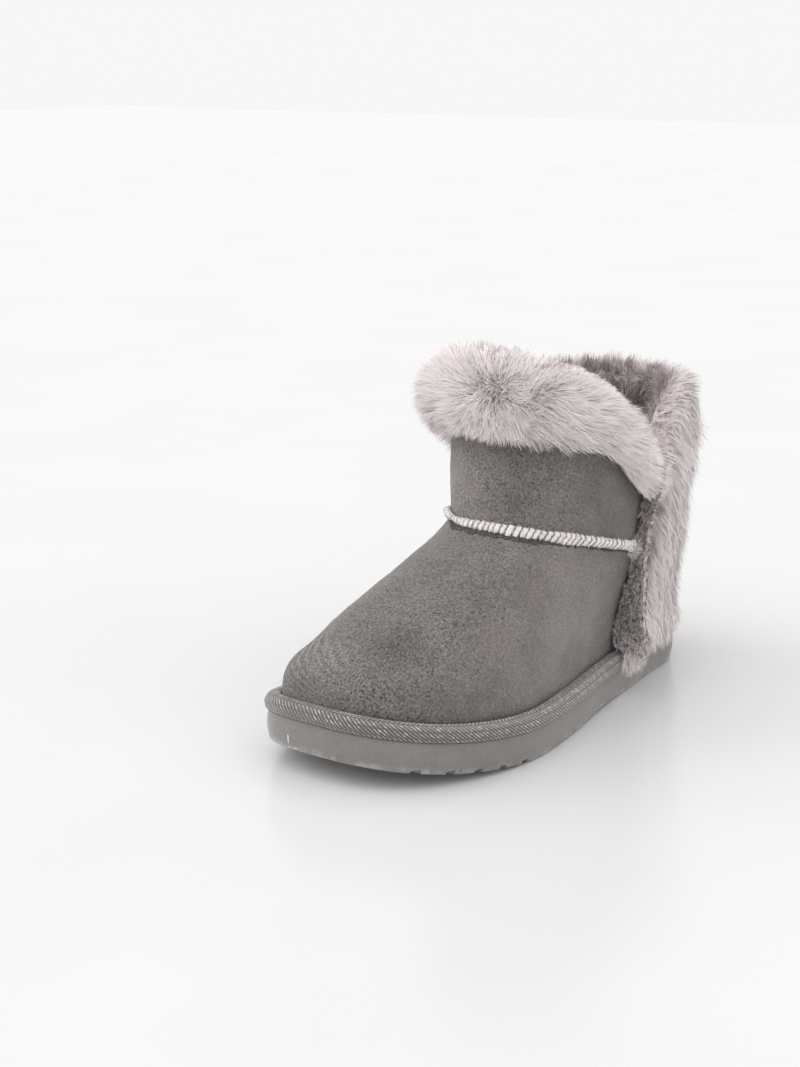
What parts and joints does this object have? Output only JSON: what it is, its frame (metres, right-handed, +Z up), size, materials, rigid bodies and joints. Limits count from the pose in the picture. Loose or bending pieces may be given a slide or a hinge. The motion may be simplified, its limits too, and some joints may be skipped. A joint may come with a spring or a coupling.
{
  "type": "snow boot",
  "caption": "Low pull-on winter boot for the left foot: soft suede-look upper on a thick rubber sole, with a fur cuff round the front and a fur strip up the back.",
  "frame": {"origin": "centre of the boot's length and width, on the floor", "axes": "+Y from toe to heel, +X to the outer side of the foot, +Z up"},
  "size_m": [0.127, 0.275, 0.1787],
  "materials": {
    "suede": "brushed grey micro-suede, matt, mottled",
    "rubber": "matt grey rubber with a fine stipple and light scuffs",
    "tape": "woven twill tape",
    "fleece": "off-white fleece, stitched over",
    "fur": "long pale pinkish-grey artificial fur with darker roots",
    "lining": "short dark mauve pile"
  },
  "bodies": {
    "root": {"outsole": "rubber", "binding_tape": "tape", "insole": "lining", "upper": "suede", "shaft": "suede", "ankle_seam": "fleece", "fur_cuff": "fur", "back_fur_strip": "fur"}
  },
  "joints": []
}
